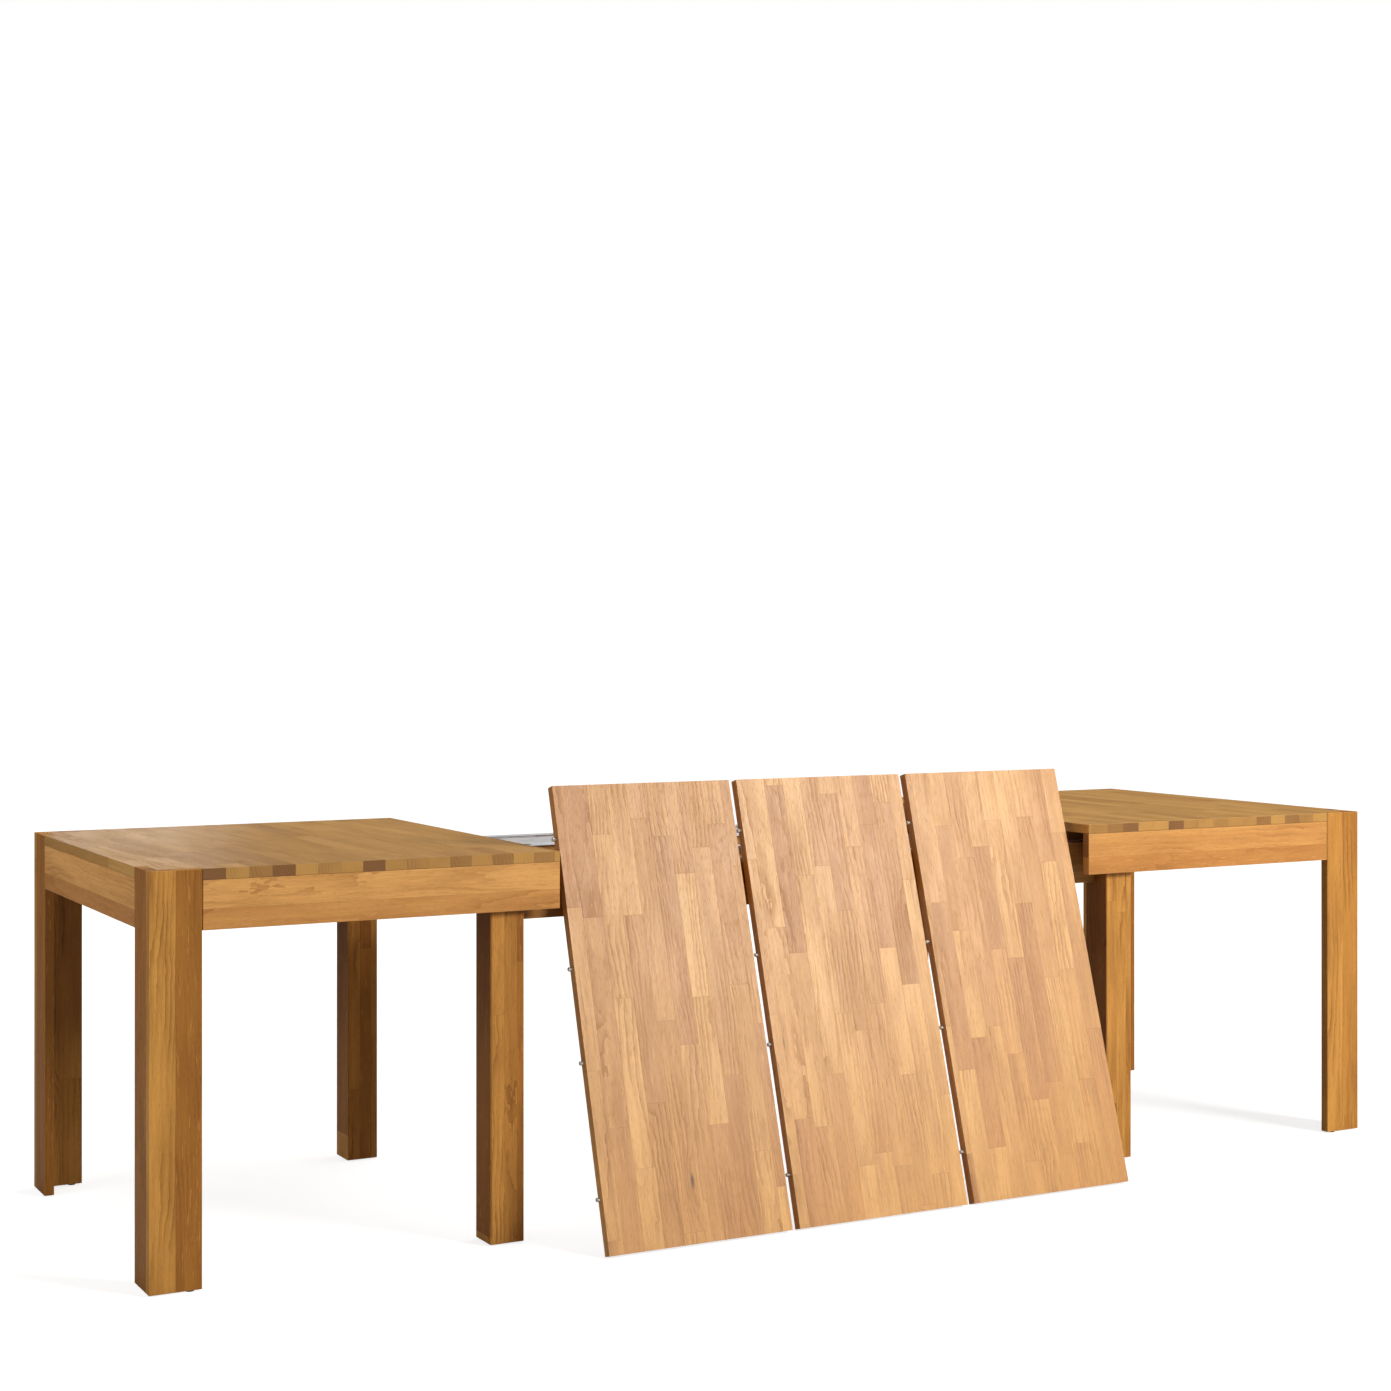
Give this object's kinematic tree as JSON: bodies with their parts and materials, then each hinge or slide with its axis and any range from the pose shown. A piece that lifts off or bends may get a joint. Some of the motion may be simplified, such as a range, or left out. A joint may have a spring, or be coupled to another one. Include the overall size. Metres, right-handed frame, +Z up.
{
  "type": "extendable dining table",
  "caption": "Oak dining table on an inner frame, pulled open on ball-bearing slides, with its loose leaves leaning against the side rail.",
  "frame": {"origin": "on the floor, at the centre of the footprint of the open table and its leaning leaves", "axes": "+X along the table to the right half, -Y towards the leaning leaves, +Z up"},
  "size_m": [2.884, 1.0636, 0.8694],
  "materials": {
    "oak_top": "satin oil",
    "oak_apron": "satin oil",
    "oak_corner_leg": "satin oil",
    "oak_leaf": "satin oil",
    "oak_inner_leg": "satin oil",
    "oak_rail": "satin oil",
    "oak_batten": "planed",
    "oak_cleat": "planed",
    "zinc_steel": "zinc-plated",
    "plain_steel": "milled",
    "screw_steel": "plated",
    "bright_pin": "polished",
    "black_plastic": "matte",
    "nylon": "matte"
  },
  "bodies": {
    "inner_frame": {"inner_leg_near_left": "oak_inner_leg", "inner_leg_near_right": "oak_inner_leg", "inner_leg_far_left": "oak_inner_leg", "inner_leg_far_right": "oak_inner_leg", "side_rail_near": "oak_rail", "side_rail_far": "oak_rail", "end_rail_left": "oak_rail", "end_rail_right": "oak_rail", "centre_crossbeam": "oak_rail", "slide_fixed_near_left": "zinc_steel", "slide_fixed_near_right": "zinc_steel", "slide_fixed_far_left": "zinc_steel", "slide_fixed_far_right": "zinc_steel", "rack_guide": "plain_steel", "pinion_pin": "plain_steel", "frame_screws": "screw_steel", "frame_glides": "black_plastic"},
    "left_half": {"top_left": "oak_top", "apron_near_left": "oak_apron", "apron_far_left": "oak_apron", "apron_end_left": "oak_apron", "corner_leg_near_left": "oak_corner_leg", "corner_leg_far_left": "oak_corner_leg", "batten_near_left": "oak_batten", "batten_far_left": "oak_batten", "slide_moving_near_left": "zinc_steel", "slide_moving_far_left": "zinc_steel", "rack_left": "plain_steel", "rack_bracket_left": "oak_batten", "half_screws_left": "screw_steel", "half_glides_left": "black_plastic"},
    "right_half": {"top_right": "oak_top", "apron_near_right": "oak_apron", "apron_far_right": "oak_apron", "apron_end_right": "oak_apron", "corner_leg_near_right": "oak_corner_leg", "corner_leg_far_right": "oak_corner_leg", "batten_near_right": "oak_batten", "batten_far_right": "oak_batten", "slide_moving_near_right": "zinc_steel", "slide_moving_far_right": "zinc_steel", "rack_right": "plain_steel", "rack_bracket_right": "oak_batten", "half_screws_right": "screw_steel", "half_glides_right": "black_plastic", "half_pins_right": "bright_pin"},
    "left_slide_middles": {"slide_middle_near_left": "zinc_steel", "slide_middle_far_left": "zinc_steel"},
    "right_slide_middles": {"slide_middle_near_right": "zinc_steel", "slide_middle_far_right": "zinc_steel"},
    "pinion": {"sync_pinion": "nylon"},
    "leaf_left_body": {"leaf_left": "oak_leaf", "leaf_pins_left": "bright_pin", "leaf_cleats_left": "oak_cleat"},
    "leaf_middle_body": {"leaf_middle": "oak_leaf", "leaf_pins_middle": "bright_pin", "leaf_cleats_middle": "oak_cleat"},
    "leaf_right_body": {"leaf_right": "oak_leaf", "leaf_pins_right": "bright_pin", "leaf_cleats_right": "oak_cleat"}
  },
  "joints": [
    {"name": "left_half_slide", "type": "slide", "parent": "inner_frame", "child": "left_half", "axis": [1, 0, 0], "range_m": [0, 0.6415]},
    {"name": "right_half_slide", "type": "slide", "parent": "inner_frame", "child": "right_half", "axis": [-1, 0, 0], "range_m": [0, 0.6415]},
    {"name": "left_middles_slide", "type": "slide", "parent": "inner_frame", "child": "left_slide_middles", "axis": [1, 0, 0], "range_m": [0, 0.32075]},
    {"name": "right_middles_slide", "type": "slide", "parent": "inner_frame", "child": "right_slide_middles", "axis": [-1, 0, 0], "range_m": [0, 0.32075]},
    {"name": "pinion_turn", "type": "hinge", "parent": "inner_frame", "child": "pinion", "pos_m": [0, 0.08183, 0.692], "axis": [0, 0, 1], "range_deg": [0, 1840]},
    {"name": "leaf_left_lift_off", "type": "hinge", "parent": "inner_frame", "child": "leaf_left_body", "pos_m": [0, -0.93358, -0.29986], "axis": [1, 0, 0], "range_deg": [0, 106.3]},
    {"name": "leaf_middle_lift_off", "type": "hinge", "parent": "inner_frame", "child": "leaf_middle_body", "pos_m": [0, -0.93358, -0.29986], "axis": [1, 0, 0], "range_deg": [0, 106.3]},
    {"name": "leaf_right_lift_off", "type": "hinge", "parent": "inner_frame", "child": "leaf_right_body", "pos_m": [0, -0.93358, -0.29986], "axis": [1, 0, 0], "range_deg": [0, 106.3]}
  ],
  "couplings": [
    {"joint": "right_half_slide", "follows": "left_half_slide", "ratio": 1},
    {"joint": "left_middles_slide", "follows": "left_half_slide", "ratio": 0.5},
    {"joint": "right_middles_slide", "follows": "left_half_slide", "ratio": 0.5},
    {"joint": "pinion_turn", "follows": "left_half_slide", "rad_per_m": 50},
    {"joint": "leaf_left_lift_off", "follows": "left_half_slide", "rad_per_m": 2.892},
    {"joint": "leaf_middle_lift_off", "follows": "left_half_slide", "rad_per_m": 2.892},
    {"joint": "leaf_right_lift_off", "follows": "left_half_slide", "rad_per_m": 2.892}
  ]
}
